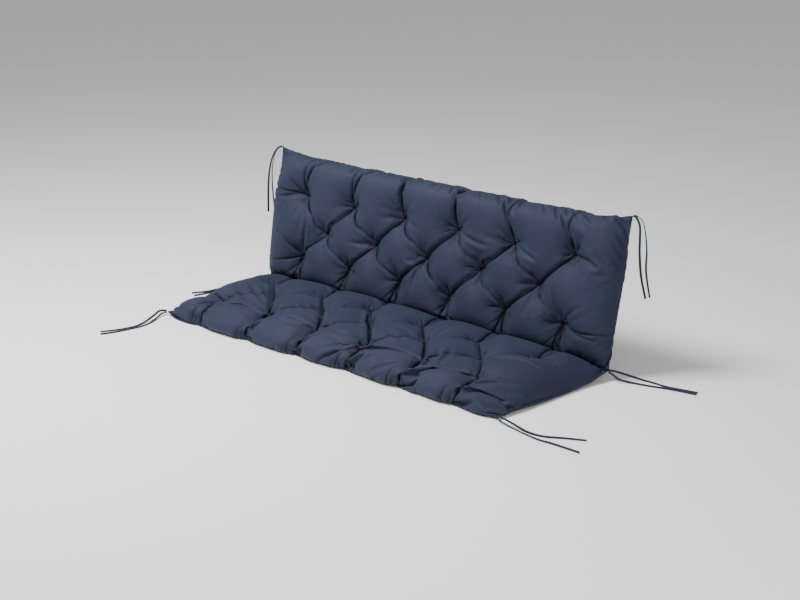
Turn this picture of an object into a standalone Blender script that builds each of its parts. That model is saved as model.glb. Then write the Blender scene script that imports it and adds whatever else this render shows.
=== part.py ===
"""Tufted bench cushion: one filled cover with a seat panel and a back panel that meet at a sewn
fold, and six pairs of tape ties at its corners and at the ends of the fold.

Metres, +X along the bench, -Y the front, +Z up. The seat panel rests on z = 0.
"""

import math

import bmesh
import bpy
from mathutils import Vector

# The cover, measured flat from the fold along each panel.
SEAT_LENGTH = 0.492
BACK_LENGTH = 0.474
HALF_WIDTH_FRONT = 0.738
HALF_WIDTH_FOLD = 0.757
HALF_WIDTH_TOP = 0.766
RECLINE = math.radians(10)

# Where the fold lies, and the heights of the seat's seam and of the middle of its filling.
FOLD_Y = 0.1885
FOLD_Z = 0.030
SEAM_Z = 0.012
SEAM_RISE = 0.160
CORE_Z = 0.044
CORE_REACH = 0.110

# Tufts: three staggered rows on each panel, of 6, 5 and 6.
TUFT_PITCH = 0.2326
SEAT_ROWS = {0.1375: 6, 0.2522: 5, 0.3676: 6}
BACK_ROWS = {0.1070: 6, 0.2117: 5, 0.3218: 6}
TUFT_REACH = 0.034
CREASE_REACH = 0.013
CREASE_DEPTH = 0.26

# The filling: how far each face stands from the middle of the pad at a crown.
SEAT_TOP = 0.053
SEAT_UNDERSIDE = 0.058
BACK_FRONT = 0.052
BACK_REAR = 0.046
TUFT_HALF_GAP = 0.0045
FRONT_BULGE = 0.032
FRONT_BULGE_REACH = 0.080
SIDE_ROUNDING = 0.085
FOLD_ROUNDING = 0.075
FOLD_CLEARANCE = 0.0018

# Drawn-in sides, and the gathers that the tufts pull into the seams.
SIDE_DRAW = 0.014
END_DRAW = 0.006
GATHER = 0.006

# The grid of the cover: cells between neighbouring tufts, and those out to each seam.
CELLS_PER_PITCH = 10
CELLS_PER_ROW = 5
SEAM_CELLS = 7
FOLD_CELLS = 6

TIE_DIAMETER = 0.005
TIE_STEP = 0.016
TIE_PARTING = 0.0029
TIE_GAP = 0.0006

FABRIC_COLOUR = (0.052, 0.070, 0.118, 1.0)
TAPE_COLOUR = (0.045, 0.058, 0.092, 1.0)

# Each strand's way after the point where it leaves the cover: across, from the fold line, and up.
TIE_ROUTES = {
    "tie_top_left_outer": [
        (-0.777, 0.086, 0.496), (-0.792, 0.075, 0.483), (-0.803, 0.062, 0.450),
        (-0.810, 0.054, 0.400), (-0.813, 0.050, 0.335), (-0.814, 0.049, 0.255),
    ],
    "tie_top_left_inner": [
        (-0.775, 0.078, 0.495), (-0.786, 0.068, 0.478), (-0.793, 0.059, 0.445),
        (-0.797, 0.056, 0.400), (-0.797, 0.057, 0.335), (-0.791, 0.061, 0.248),
    ],
    "tie_top_right_outer": [
        (0.776, 0.090, 0.496), (0.789, 0.100, 0.480), (0.795, 0.108, 0.440),
        (0.799, 0.112, 0.390), (0.799, 0.113, 0.325), (0.811, 0.120, 0.245),
    ],
    "tie_top_right_inner": [
        (0.777, 0.081, 0.495), (0.786, 0.089, 0.470), (0.783, 0.097, 0.425),
        (0.782, 0.100, 0.380), (0.788, 0.104, 0.310), (0.802, 0.111, 0.242),
    ],
    "tie_fold_left_outer": [
        (-0.784, -0.003, 0.030), (-0.812, -0.012, 0.024), (-0.836, -0.035, 0.012),
        (-0.846, -0.090, 0.0028), (-0.845, -0.160, 0.0028), (-0.850, -0.220, 0.0028),
        (-0.874, -0.272, 0.0028),
    ],
    "tie_fold_left_inner": [
        (-0.778, -0.012, 0.024), (-0.800, -0.028, 0.016), (-0.822, -0.055, 0.006),
        (-0.834, -0.100, 0.0028), (-0.831, -0.160, 0.0028), (-0.831, -0.220, 0.0028),
        (-0.842, -0.286, 0.0028),
    ],
    "tie_fold_right_outer": [
        (0.776, 0.014, 0.029), (0.798, 0.038, 0.018), (0.830, 0.062, 0.006),
        (0.880, 0.068, 0.0028), (0.930, 0.066, 0.0028), (1.020, 0.085, 0.0028),
    ],
    "tie_fold_right_inner": [
        (0.776, -0.002, 0.023), (0.794, 0.002, 0.012), (0.825, 0.022, 0.004),
        (0.880, 0.036, 0.0028), (0.940, 0.054, 0.0028), (1.026, 0.070, 0.0028),
    ],
    "tie_front_left_outer": [
        (-0.750, -0.512, 0.017), (-0.735, -0.548, 0.013), (-0.716, -0.600, 0.006),
        (-0.708, -0.645, 0.0028), (-0.713, -0.690, 0.0028), (-0.725, -0.728, 0.0028),
        (-0.743, -0.766, 0.0028),
    ],
    "tie_front_left_inner": [
        (-0.739, -0.512, 0.010), (-0.722, -0.548, 0.006), (-0.700, -0.596, 0.003),
        (-0.692, -0.640, 0.0028), (-0.696, -0.690, 0.0028), (-0.704, -0.735, 0.0028),
        (-0.720, -0.783, 0.0028),
    ],
    "tie_front_right_outer": [
        (0.755, -0.497, 0.017), (0.800, -0.500, 0.011), (0.860, -0.508, 0.004),
        (0.910, -0.502, 0.0028), (0.958, -0.474, 0.0028), (1.014, -0.444, 0.0028),
    ],
    "tie_front_right_inner": [
        (0.755, -0.504, 0.009), (0.800, -0.510, 0.004), (0.860, -0.522, 0.0028),
        (0.915, -0.530, 0.0028), (0.965, -0.527, 0.0028), (1.054, -0.528, 0.0028),
    ],
}


def clear_scene():
    for item in list(bpy.data.objects):
        bpy.data.objects.remove(item, do_unlink=True)


def fabric(name, colour, roughness):
    material = bpy.data.materials.new(name)
    material.use_nodes = True
    shader = material.node_tree.nodes["Principled BSDF"]
    shader.inputs["Base Color"].default_value = colour
    shader.inputs["Roughness"].default_value = roughness
    shader.inputs["Metallic"].default_value = 0.0
    return material


def rounded(distance, reach):
    """0 at a seam, rising in a quarter circle to 1 at reach."""
    part = min(max(distance / reach, 0.0), 1.0)
    return math.sqrt(1.0 - (1.0 - part) ** 2)


def to_segment(point, start, end):
    along = end - start
    share = (point - start).dot(along) / along.length_squared
    return (start + along * min(max(share, 0.0), 1.0) - point).length


def half_width(share):
    """Half the width of the cover, from -1 at the front seam through 0 at the fold to 1 at the top."""
    corner = HALF_WIDTH_TOP if share > 0 else HALF_WIDTH_FRONT
    straight = HALF_WIDTH_FOLD + (corner - HALF_WIDTH_FOLD) * abs(share)
    return straight - SIDE_DRAW * math.sin(math.pi * abs(share)) ** 2


class Panel:
    """One panel: its direction away from the fold, its two faces, its tufts and their creases."""

    def __init__(self, side, length, rows, along, facing, inner, outer):
        self.side = side
        self.length = length
        self.along = along
        self.facing = facing
        self.inner = inner
        self.outer = outer
        self.rows = list(rows)
        self.tufts = [
            [Vector(((i - (count - 1) / 2) * TUFT_PITCH, distance)) for i in range(count)]
            for distance, count in rows.items()
        ]
        self.creases = self.find_creases()

    def find_creases(self):
        """Creases run between staggered tufts, and from the outer tufts straight to the seams."""
        found = []
        for near, far in zip(self.tufts, self.tufts[1:]):
            found += [(a, b) for a in near for b in far if abs(a.x - b.x) < TUFT_PITCH * 0.6]
        for tuft in self.tufts[0]:
            found.append((tuft, Vector((tuft.x, 0.0))))
        for tuft in self.tufts[-1]:
            found.append((tuft, Vector((tuft.x, self.length))))
        for row in (self.tufts[0], self.tufts[-1]):
            for tuft in (row[0], row[-1]):
                found.append((tuft, Vector((math.copysign(HALF_WIDTH_FOLD, tuft.x), tuft.y))))
        return found

    def fullness(self, u, s):
        """How full the pad is at u along the bench and s from the fold: 0 at a seam, 1 at a crown."""
        share = self.side * s / self.length
        here = Vector((u, s))
        sides = rounded(half_width(share) - abs(u), SIDE_ROUNDING)
        ends = rounded(self.length - s, SIDE_ROUNDING) * rounded(s, FOLD_ROUNDING)
        tuft = min((here - t).length for row in self.tufts for t in row)
        crease = min(to_segment(here, a, b) for a, b in self.creases)
        pinch = 1.0 - math.exp(-((tuft / TUFT_REACH) ** 2))
        fold = 1.0 - CREASE_DEPTH * math.exp(-((crease / CREASE_REACH) ** 2))
        return sides * ends * pinch * fold

    def middle(self, u, s):
        """The middle of the pad, between its two faces."""
        centre = Vector((u, FOLD_Y, FOLD_Z)) + self.along * s
        if self.side < 0:
            seam = SEAM_Z + (FOLD_Z - SEAM_Z) * max(1.0 - s / SEAM_RISE, 0.0) ** 2
            inside = min(half_width(-s / self.length) - abs(u), self.length - s)
            lift = rounded(inside, CORE_REACH) * rounded(s, CORE_REACH)
            centre.z = seam + (CORE_Z - seam) * lift
        return centre

    def face_points(self, u, s):
        """The two points of the cover at (u, s): on the sitting side and on the other side."""
        full = self.fullness(u, s)
        centre = self.middle(u, s)
        open_angle = math.pi / 2 + RECLINE
        room = s * math.tan(open_angle / 2) - FOLD_CLEARANCE
        inner = min(TUFT_HALF_GAP + (self.inner - TUFT_HALF_GAP) * full, room)
        outer = TUFT_HALF_GAP + (self.outer - TUFT_HALF_GAP) * full
        front = centre + self.facing * inner
        rear = centre - self.facing * outer
        rear.z = max(rear.z, 0.0)
        if self.side < 0:
            edge = min((self.length - s) / FRONT_BULGE_REACH, 1.0)
            front += self.along * FRONT_BULGE * math.sin(math.pi * edge) * full**0.5
        return front, rear


def spaced(start, end, count, bias):
    """count steps from start to end, closer together near end where bias is over 1."""
    return [start + (end - start) * (1.0 - (1.0 - (i + 1) / count) ** bias) for i in range(count)]


def even(start, end, count):
    return spaced(start, end, count, 1.0)


def column_positions():
    """Positions along the bench, as multiples of the half width at the fold."""
    outer_tuft = 2.5 * TUFT_PITCH
    inner = even(0.0, outer_tuft, int(CELLS_PER_PITCH * 2.5))
    right = inner + spaced(outer_tuft, HALF_WIDTH_FOLD, SEAM_CELLS, 1.5)
    return [-u for u in reversed(right)] + [0.0] + right


def row_positions(panel):
    """Distances from the fold: close together at both seams, and even between the tuft rows."""
    first = panel.rows[0]
    rows = spaced(first, 0.0, FOLD_CELLS, 1.4)[-2::-1] + [first]
    for near, far in zip(panel.rows, panel.rows[1:]):
        rows = rows + even(near, far, CELLS_PER_ROW)
    return rows + spaced(panel.rows[-1], panel.length, SEAM_CELLS, 1.5)


def gathered(panel, u, s):
    """Where (u, s) really lies: sides drawn in, and each seam pulled towards the tufts behind it."""
    share = panel.side * s / panel.length
    outer_tuft = 2.5 * TUFT_PITCH
    stretch = (half_width(share) - outer_tuft) / (HALF_WIDTH_FOLD - outer_tuft)
    drawn = u
    if abs(u) > outer_tuft:
        drawn = math.copysign(outer_tuft + (abs(u) - outer_tuft) * stretch, u)
    beyond = max(s - panel.rows[-1], 0.0) / (panel.length - panel.rows[-1])
    wave = 0.5 - 0.5 * math.cos(2 * math.pi * (u / TUFT_PITCH + 0.5))
    towards_corner = min(abs(u) / HALF_WIDTH_FOLD, 1.0) ** 8
    pull = (END_DRAW + GATHER * (1.0 - wave)) * (1.0 - towards_corner)
    return drawn, s - pull * beyond**3


def cover_mesh(panels):
    """Both faces of the cover as one closed mesh, joined along the seams round its edge."""
    columns = column_positions()
    seat, back = panels
    lengthwise = [(seat, s) for s in reversed(row_positions(seat))]
    lengthwise += [(None, 0.0)]
    lengthwise += [(back, s) for s in row_positions(back)]
    into_fold = (seat.facing + back.facing).normalized() * TUFT_HALF_GAP

    mesh = bmesh.new()
    front, rear = [], []
    last_row, last_column = len(lengthwise) - 1, len(columns) - 1
    for j, (panel, s) in enumerate(lengthwise):
        front_row, rear_row = [], []
        for i, u in enumerate(columns):
            rim = i in (0, last_column) or j in (0, last_row)
            place, distance = gathered(panel or seat, u, s)
            if rim:
                point = (panel or seat).middle(place, distance)
                vertex = mesh.verts.new(point)
                front_row.append(vertex)
                rear_row.append(vertex)
                continue
            if panel is None:
                fold = Vector((place, FOLD_Y, FOLD_Z))
                on_front, on_rear = fold + into_fold, fold - into_fold
            else:
                on_front, on_rear = panel.face_points(place, distance)
            front_row.append(mesh.verts.new(on_front))
            rear_row.append(mesh.verts.new(on_rear))
        front.append(front_row)
        rear.append(rear_row)
    for j in range(last_row):
        for i in range(last_column):
            rising = crease_rises(lengthwise[j], lengthwise[j + 1], columns[i], columns[i + 1])
            if i in (0, last_column - 1) and j in (0, last_row - 1):
                rising = (i == 0) == (j == 0)
            add_cell(mesh, front, i, j, rising, False)
            add_cell(mesh, rear, i, j, rising, True)
    return mesh


def crease_rises(low, high, left, right):
    """Whether the cell is cut from its lower left corner, to follow the nearest crease."""
    panel = high[0] or low[0]
    corners = [Vector((u, row[1])) for row in (low, high) for u in (left, right)]
    near = [min(to_segment(c, a, b) for a, b in panel.creases) for c in corners]
    return near[0] + near[3] <= near[1] + near[2]


def add_cell(mesh, grid, i, j, rising, reverse):
    a, b = grid[j][i], grid[j][i + 1]
    c, d = grid[j + 1][i + 1], grid[j + 1][i]
    halves = [(a, b, c), (a, c, d)] if rising else [(a, b, d), (b, c, d)]
    for half in halves:
        mesh.faces.new(reversed(half) if reverse else half)


def make_cushion(collection):
    along_back = Vector((0.0, math.sin(RECLINE), math.cos(RECLINE)))
    facing_back = Vector((0.0, -math.cos(RECLINE), math.sin(RECLINE)))
    seat = Panel(-1, SEAT_LENGTH, SEAT_ROWS, Vector((0, -1, 0)), Vector((0, 0, 1)), SEAT_TOP, SEAT_UNDERSIDE)
    back = Panel(1, BACK_LENGTH, BACK_ROWS, along_back, facing_back, BACK_FRONT, BACK_REAR)
    mesh = cover_mesh((seat, back))
    data = bpy.data.meshes.new("cushion")
    mesh.to_mesh(data)
    mesh.free()
    data.shade_smooth()
    data.materials.append(fabric("navy_fabric", FABRIC_COLOUR, 0.85))
    cushion = bpy.data.objects.new("cushion", data)
    collection.objects.link(cushion)
    return seat, back


def smooth_points(points, step):
    """Evenly spaced points on a smooth curve through the given ones."""
    ends = [points[0] * 2 - points[1]] + points + [points[-1] * 2 - points[-2]]
    dense = []
    for before, start, end, after in zip(ends, ends[1:], ends[2:], ends[3:]):
        for i in range(24):
            t = i / 24
            bend = (before - start * 3 + end * 3 - after) * -(t**3)
            curve = (before * 2 - start * 5 + end * 4 - after) * t**2
            dense.append((start * 2 + (end - before) * t + curve + bend) / 2)
    dense.append(points[-1])
    walked = [0.0]
    for near, far in zip(dense, dense[1:]):
        walked.append(walked[-1] + (far - near).length)
    count = round(walked[-1] / step)
    even_points = []
    for i in range(count + 1):
        target = walked[-1] * i / count
        k = next((k for k, length in enumerate(walked) if length >= target - 1e-9), len(walked) - 1)
        k = max(k, 1)
        share = (target - walked[k - 1]) / (walked[k] - walked[k - 1])
        even_points.append(dense[k - 1].lerp(dense[k], share))
    return even_points


def make_tie(name, route, material, collection):
    points = smooth_points(route, TIE_STEP)
    curve = bpy.data.curves.new(name, "CURVE")
    curve.dimensions = "3D"
    curve.bevel_depth = TIE_DIAMETER / 2
    curve.bevel_resolution = 2
    curve.use_fill_caps = True
    spline = curve.splines.new("POLY")
    spline.points.add(len(points) - 1)
    for knot, point in zip(spline.points, points):
        knot.co = (*point, 1.0)
    curve.materials.append(material)
    collection.objects.link(bpy.data.objects.new(name, curve))


def make_ties(seat, back, collection):
    """Two strands leave each corner of the cover and each end of the fold, side by side."""
    tape = fabric("navy_tape", TAPE_COLOUR, 0.8)
    corners = {
        "top": back.middle(HALF_WIDTH_TOP, BACK_LENGTH),
        "fold": Vector((HALF_WIDTH_FOLD, FOLD_Y, FOLD_Z)),
        "front": seat.middle(HALF_WIDTH_FRONT, SEAT_LENGTH),
    }
    outward = {"top": Vector((1, 0, 0)), "fold": Vector((1, 0, 0)), "front": Vector((1, -0.6, 0))}
    beside = {"top": Vector((0, 1, 0)), "fold": Vector((0, 0, 1)), "front": Vector((0, 0, 1))}
    for name, route in TIE_ROUTES.items():
        _, place, hand, strand = name.split("_")
        mirror = Vector((1 if hand == "right" else -1, 1, 1))
        start = corners[place] + outward[place].normalized() * TIE_GAP
        start += beside[place] * (TIE_PARTING if strand == "outer" else -TIE_PARTING)
        points = [start * mirror] + [Vector(p) + Vector((0, FOLD_Y, 0)) for p in route]
        make_tie(name, points, tape, collection)


def main():
    clear_scene()
    collection = bpy.data.collections.new("bench_cushion")
    bpy.context.scene.collection.children.link(collection)
    seat, back = make_cushion(collection)
    make_ties(seat, back, collection)


main()
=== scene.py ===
"""Bench cushion with a tied back.

The cover is two sheets of cloth, sewn together along their rims and along the fold, and drawn
together at the tufts. Each is a regular grid over its flat pattern. A small cloth solver lays
them over the filling, whose pillows, valleys and dimples are worked out as heights, and the
gathers come from the spare cloth. Creases, wrinkles, puckers and pleats are pressed in afterwards.
Metres, +X along the bench, -Y the front, +Z up, the floor at z = 0.
"""

import math

import bpy
import numpy as np
from mathutils import Matrix, Vector


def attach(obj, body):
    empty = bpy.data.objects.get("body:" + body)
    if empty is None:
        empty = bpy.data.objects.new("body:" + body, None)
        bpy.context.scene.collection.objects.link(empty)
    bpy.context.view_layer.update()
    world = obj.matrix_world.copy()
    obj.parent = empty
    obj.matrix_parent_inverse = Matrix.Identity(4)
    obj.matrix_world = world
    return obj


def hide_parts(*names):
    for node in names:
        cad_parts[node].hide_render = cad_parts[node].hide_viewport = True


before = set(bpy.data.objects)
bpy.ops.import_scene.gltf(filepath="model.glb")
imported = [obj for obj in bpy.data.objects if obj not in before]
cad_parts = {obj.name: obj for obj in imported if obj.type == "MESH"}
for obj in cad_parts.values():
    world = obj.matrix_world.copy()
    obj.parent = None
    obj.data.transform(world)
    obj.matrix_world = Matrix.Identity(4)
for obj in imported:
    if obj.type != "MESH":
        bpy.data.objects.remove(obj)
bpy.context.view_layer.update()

# ---------------------------------------------------------------- camera, fitted to the tufts
CAMERA_PLACE = (3.4958, -3.6020, 1.6355)
CAMERA_RIGHT = (0.724715, 0.689048, -0.000332)
CAMERA_UP = (-0.196706, 0.207350, 0.958286)
CAMERA_BACK = (0.660375, -0.694419, 0.285810)
CAMERA_LENS = 73.24
SENSOR_WIDTH = 36.0

# ---------------------------------------------------------------- the object's main sizes
FOLD_Y = 0.1885
FOLD_Z = 0.030
RECLINE = math.radians(10.0)
SEAT_LENGTH = 0.492
BACK_LENGTH = 0.474
HALF_WIDTH_FRONT = 0.738
HALF_WIDTH_FOLD = 0.757
HALF_WIDTH_TOP = 0.766
SEAM_Z = 0.012
TUFT_PITCH = 0.2326

# Directions: up the back, out of the back's sitting side, and across the seat-back corner.
BACK_UP = np.array([0.0, math.sin(RECLINE), math.cos(RECLINE)])
BACK_OUT = np.array([0.0, -math.cos(RECLINE), math.sin(RECLINE)])
CORNER_LINE = BACK_UP - np.array([0.0, 1.0, 0.0])
CORNER_LINE = CORNER_LINE / np.linalg.norm(CORNER_LINE)
CORNER_NORMAL = np.array([0.0, CORNER_LINE[2], -CORNER_LINE[1]])

# ---------------------------------------------------------------- tufts
# The height of the seat's middle, and how far from it a seat tuft's two sides lie.
SEAT_CORE_Z = 0.043
SEAT_TUFT_HALF = 0.008
# How much higher the seat's front tufts lie than its other ones.
FRONT_TUFT_RISE = 0.016
# How far in front of the back's middle a back tuft's two sides lie.
BACK_TUFT_FRONT = 0.010
BACK_TUFT_REAR = -0.001
# Each row: the sewn points from left to right, as x and the distance from the fold.
TUFTS = {
    "seat_front": (
        (-0.524, 0.406), (-0.300, 0.410), (-0.080, 0.400),
        (0.150, 0.406), (0.390, 0.412), (0.586, 0.400),
    ),
    "seat_middle": (
        (-0.466, 0.256), (-0.228, 0.246), (-0.014, 0.248), (0.222, 0.240), (0.460, 0.258),
    ),
    "seat_rear": (
        (-0.592, 0.142), (-0.358, 0.126), (-0.136, 0.122),
        (0.118, 0.142), (0.342, 0.128), (0.582, 0.138),
    ),
    "back_low": (
        (-0.584, 0.112), (-0.352, 0.106), (-0.108, 0.108),
        (0.108, 0.096), (0.350, 0.110), (0.577, 0.111),
    ),
    "back_middle": (
        (-0.480, 0.208), (-0.234, 0.209), (-0.006, 0.208), (0.232, 0.220), (0.467, 0.210),
    ),
    "back_top": (
        (-0.590, 0.321), (-0.357, 0.317), (-0.120, 0.322),
        (0.121, 0.325), (0.356, 0.318), (0.600, 0.327),
    ),
}

# ---------------------------------------------------------------- the filling
# Each panel's crowns and tufts as heights above and below its middle, its far end and half width, how
# far in from the sides, the end and the fold it is rounded, how far from its left and right corners
# it rises to the full height, and how far a tuft's dimple reaches.
FILLING = {
    "seat": {
        "crowns": (0.053, 0.050), "tufts": (0.009, 0.006), "end": 0.510, "half_width": 0.752,
        "rounding": (0.150, 0.078, 0.075), "corners": (0.060, 0.165), "dimple": 0.060,
    },
    "back": {
        "crowns": (0.067, 0.058), "tufts": (0.010, 0.001), "end": 0.462, "half_width": 0.762,
        "rounding": (0.115, 0.055, 0.075), "corners": (0.120, 0.070), "dimple": 0.053,
    },
}
# Soft notches from a tuft row on to the rim it is nearest to: which way that is, and how much of the
# height is missing.
NOTCHES = (("seat_front", 1, 0.60), ("seat_rear", -1, 0.50), ("back_low", -1, 0.35), ("back_top", 1, 0.06))
NOTCH_REACH = 0.024
NOTCH_START = 0.03
# A dimple is a wide dent and a narrow pinch: the pinch's share and reach, and the dent's sharpness.
DIMPLE_POWER = 1.3
PINCH_SHARE = 0.36
PINCH_REACH = 0.016
# The troughs in the filling along the creases: their share of a crease's depth, and their half width.
VALLEY_SHARE = 0.42
VALLEY_HALF_WIDTH = 0.019
# How far the far end is drawn in at a tuft of the row next to it, and how wide.
FRONT_PINCH = (0.040, 0.016)
TOP_PINCH = (0.011, 0.016)
# The raster that holds the filling's heights: its step, half its width, where it starts and ends
# along the panel, and the steepest slope that it takes into account.
FILLING_STEP = 0.0025
FILLING_HALF = 0.82
FILLING_START = -0.02
FILLING_LENGTH = 0.56
STEEPEST = 4.0
# How far beyond the fold line a panel's filling starts.
FOLD_OVERLAP = 0.004
# Beyond the tufts the notches and pinches lie this much further from the middle of the bench.
NOTCH_SPREAD = 1.02
PINCH_SPREAD = 1.03

# ---------------------------------------------------------------- the flat pattern
# Bands of cloth from the front seam to the top seam: the tuft row, fold or seam each ends at, its
# grid cells on the coarsest grid, its flat length, and its length as it lies on the panel.
BANDS = (
    ("seat_front", 12, 0.186, 0.0900),
    ("seat_middle", 9, 0.1620, 0.1560),
    ("seat_rear", 9, 0.1200, 0.1140),
    ("fold", 10, 0.1460, 0.1320),
    ("back_low", 9, 0.1240, 0.1070),
    ("back_middle", 9, 0.1080, 0.1040),
    ("back_top", 9, 0.1185, 0.1110),
    ("top_seam", 12, 0.1770, 0.1520),
)
# Across: cells and cloth in each half pitch between tufts, and in the margin beyond the outer tufts.
COLUMNS_PER_HALF_PITCH = 9
HALF_PITCHES = 10
MARGIN_COLUMNS = 13
HALF_PITCH_CLOTH = 0.1230
MARGIN_CLOTH = 0.205
COLUMNS = 2 * MARGIN_COLUMNS + HALF_PITCHES * COLUMNS_PER_HALF_PITCH
ROWS = sum(band[1] for band in BANDS)
# Shares of cloth left out: of the seat's width between tufts and in its margins, along the sides
# of the seat and the back, in the side and the underside of the front band, and at its notches.
SEAT_PITCH_CUT = 0.02
SEAT_MARGIN_CUT = 0.095
SIDE_CUTS = (0.10, 0.05)
SIDE_FRONT_CUT = 0.17
UNDERSIDE_FRONT_CUT = 0.32
FRONT_NOTCH_CUTS = (0.22, 0.06)
FRONT_NOTCH_REACH = 0.026
# Shares that the thread gathers at the seams and at the fold, and how far that reaches.
SEAM_GATHER = 0.10
FOLD_GATHER = 0.06
GATHER_REACH = 0.012
# How much smaller the cloth is cut towards a corner: its hand, its row, the share and the reach.
CORNER_CUTS = ((0, 0, 0.06, 0.15), (0, -1, 0.10, 0.12), (-1, 0, 0.06, 0.10), (-1, -1, 0.05, 0.08))

# ---------------------------------------------------------------- creases
# From each tuft of a row: how many half pitches aside and to which row the crease runs, how deep
# it is, how much of the way it runs, and how far it bows.
CREASES = (
    ("back_top", 0.10, "top_seam", 0.009, 1.00, 0.012),
    ("back_top", -1, "back_middle", 0.012, 1.00, 0.005),
    ("back_top", 1, "back_middle", 0.010, 0.70, -0.010),
    ("back_middle", -1, "back_low", 0.012, 1.00, 0.004),
    ("back_middle", 1, "back_low", 0.010, 0.62, -0.008),
    ("back_low", -0.38, "fold", 0.009, 1.00, 0.004),
    ("back_low", 0.12, "fold", 0.010, 1.00, -0.004),
    ("back_low", -0.80, "fold", 0.005, 0.62, 0.006),
    ("back_low", 0.55, "fold", 0.005, 0.58, -0.004),
    ("seat_rear", -0.15, "fold", 0.008, 1.00, 0.004),
    ("seat_rear", 0.25, "fold", 0.009, 1.00, -0.003),
    ("seat_rear", 1, "seat_middle", 0.013, 1.00, -0.003),
    ("seat_rear", -1, "seat_middle", 0.010, 1.00, 0.006),
    ("seat_middle", 1, "seat_front", 0.013, 1.00, 0.003),
    ("seat_middle", -1, "seat_front", 0.010, 1.00, -0.006),
    ("seat_front", 0.05, "front_seam", 0.026, 1.00, 0.008),
)
# Creases that run from one tuft to a side or part of the way there: the tuft's row and number, how
# many half pitches aside and rows along they run, how deep they are, and their bow.
LONE_CREASES = (
    ("back_top", 0, -1.55, 0.5, 0.010, -0.008),
    ("back_top", 0, -0.55, 4.5, 0.006, 0.004),
    ("back_top", 5, 0.90, -1.0, 0.006, 0.004),
    ("back_low", 0, -0.55, 4.5, 0.008, -0.004),
    ("back_low", 0, -1.20, -2.0, 0.008, 0.006),
    ("back_low", 5, 2.00, 0.5, 0.012, -0.006),
    ("back_low", 5, 1.30, -1.5, 0.008, -0.004),
    ("seat_rear", 0, -1.40, -1.5, 0.010, 0.006),
    ("seat_front", 0, -1.40, 6.8, 0.014, 0.004),
    ("seat_front", 0, -0.36, -7.5, 0.022, 0.012),
    ("seat_front", 5, 0.80, 1.5, 0.006, 0.004),
    ("seat_rear", 5, 0.70, -1.0, 0.006, 0.004),
)
# The random spread of the first table's depths, runs and bows. A crease's reach, wider where it ends
# in a notch of the front, how closely the cloth is drawn together in it, and what its depth in the
# tables is multiplied by.
CREASE_SEED = 5
CREASE_SPREAD = (0.8, 1.2)
CREASE_REACH = 0.009
NOTCH_CREASE_REACH = 0.014
CREASE_PINCH = 0.96
CREASE_SCALE = 1.25
# Near its ends a pressed line is narrower and shallower: from how far, and down to which share.
NARROWING = (0.030, 0.40)
SHALLOWING = (0.015, 0.30)
# How wide the groove is and how dark and wide its two bands of painted shade are, as shares of the line's
# reach.
GROOVE_REACH = 0.55
PAINTED_SHADES = ((0.70, 0.52), (0.30, 1.50))
# How strong a crease still is where it ends at a tuft, the fold or the front seam, and at the top seam.
END_AT_TUFT = 0.8
END_AT_TOP = 0.3
# How sharp the bottom of a pressed line is, how much of the room beneath it may take, what the room
# gains where the cloth turns over an edge, the least slope it is worked out with, and the share of
# the depth on the rear and the underside.
WALL_POWER = 1.2
MOST_OF_HEIGHT = 0.62
EDGE_ROOM = 0.050
LEAST_LEAN = 0.2
REAR_SHARE = 0.6
# Fine wrinkles: how many run out from each tuft, how long, deep and bowed they are, their reach, and
# how far from the tuft they start.
WRINKLES = {"count": (11, 17), "length": (0.022, 0.066), "depth": (0.0040, 0.0105), "bow": 0.008}
WRINKLE_REACH = 0.0084
WRINKLE_START = 0.005
# How far round a tuft shade is painted on the cloth.
TUFT_PAINTED_SHADE_REACH = 0.008
# Puckers along each seam: their spacing, length and depth.
PUCKERS = {
    "front_seam": {"pitch": 0.045, "length": (0.015, 0.045), "depth": (0.0006, 0.0014)},
    "top_seam": {"pitch": 0.030, "length": (0.015, 0.055), "depth": (0.0010, 0.0032)},
    "sides": {"pitch": 0.028, "length": (0.012, 0.040), "depth": (0.0008, 0.0022)},
}
# Pleats that fan from a corner: its hand, its row, how many, and their length and depth.
PLEATS = (
    (-1, 0, 8, 0.085, 0.0020), (0, -1, 5, 0.060, 0.0016),
    (-1, -1, 5, 0.045, 0.0016), (0, 0, 3, 0.050, 0.0010),
)
# How far puckers and pleats reach, how far from its corner a pleat starts, how closely both draw
# the cloth together, and their painted shade.
PUCKER_REACH = 0.008
PLEAT_START = 0.006
PUCKER_PINCH = 0.4
PUCKER_PAINTED_SHADE = 0.3
# The hems folded together at each corner: how thick they are, and how far they reach.
HEM_THICKNESS = 0.0065
HEM_REACH = 0.022
# Upright folds in the front face, beside each of its notches: how far aside, how long and how deep.
# Their reach follows; they and the wrinkles draw the cloth together and take the same painted shade.
FRONT_FOLDS = (
    (-0.046, 0.055, 0.0045), (-0.030, 0.080, 0.0090), (-0.014, 0.060, 0.0080),
    (0.014, 0.060, 0.0070), (0.030, 0.080, 0.0080), (0.046, 0.050, 0.0040),
)
FRONT_FOLD_REACH = 0.0085
FOLD_PINCH = 0.6
FOLD_PAINTED_SHADE = 0.8
# The strengths of a line at its start and its end, for one that fades out.
FADING = (1.0, 0.0)
# The seed and the random spreads: a wrinkle's angle, a pucker's lean and its gap to the next one, how
# far a front fold stands off its place, and the shares of their lengths and depths. Then how high a
# front fold starts and how it leans towards its notch.
PRESS_SEED = 20
WRINKLE_ANGLES = 0.35
PUCKER_LEAN = 0.4
PUCKER_GAPS = (0.6, 1.4)
PUCKER_BOW = 0.002
PLEAT_ANGLES = 0.2
PLEAT_LENGTHS = (0.6, 1.2)
PLEAT_DEPTHS = (0.7, 1.3)
PLEAT_BOW = 0.003
FRONT_FOLD_SHIFT = 0.005
FRONT_FOLD_LENGTHS = (0.7, 1.3)
FRONT_FOLD_DEPTHS = (0.6, 1.4)
FRONT_FOLD_BOW = 0.005
FRONT_FOLD_FOOT = 0.004
FRONT_FOLD_LEAN = 0.35

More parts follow.
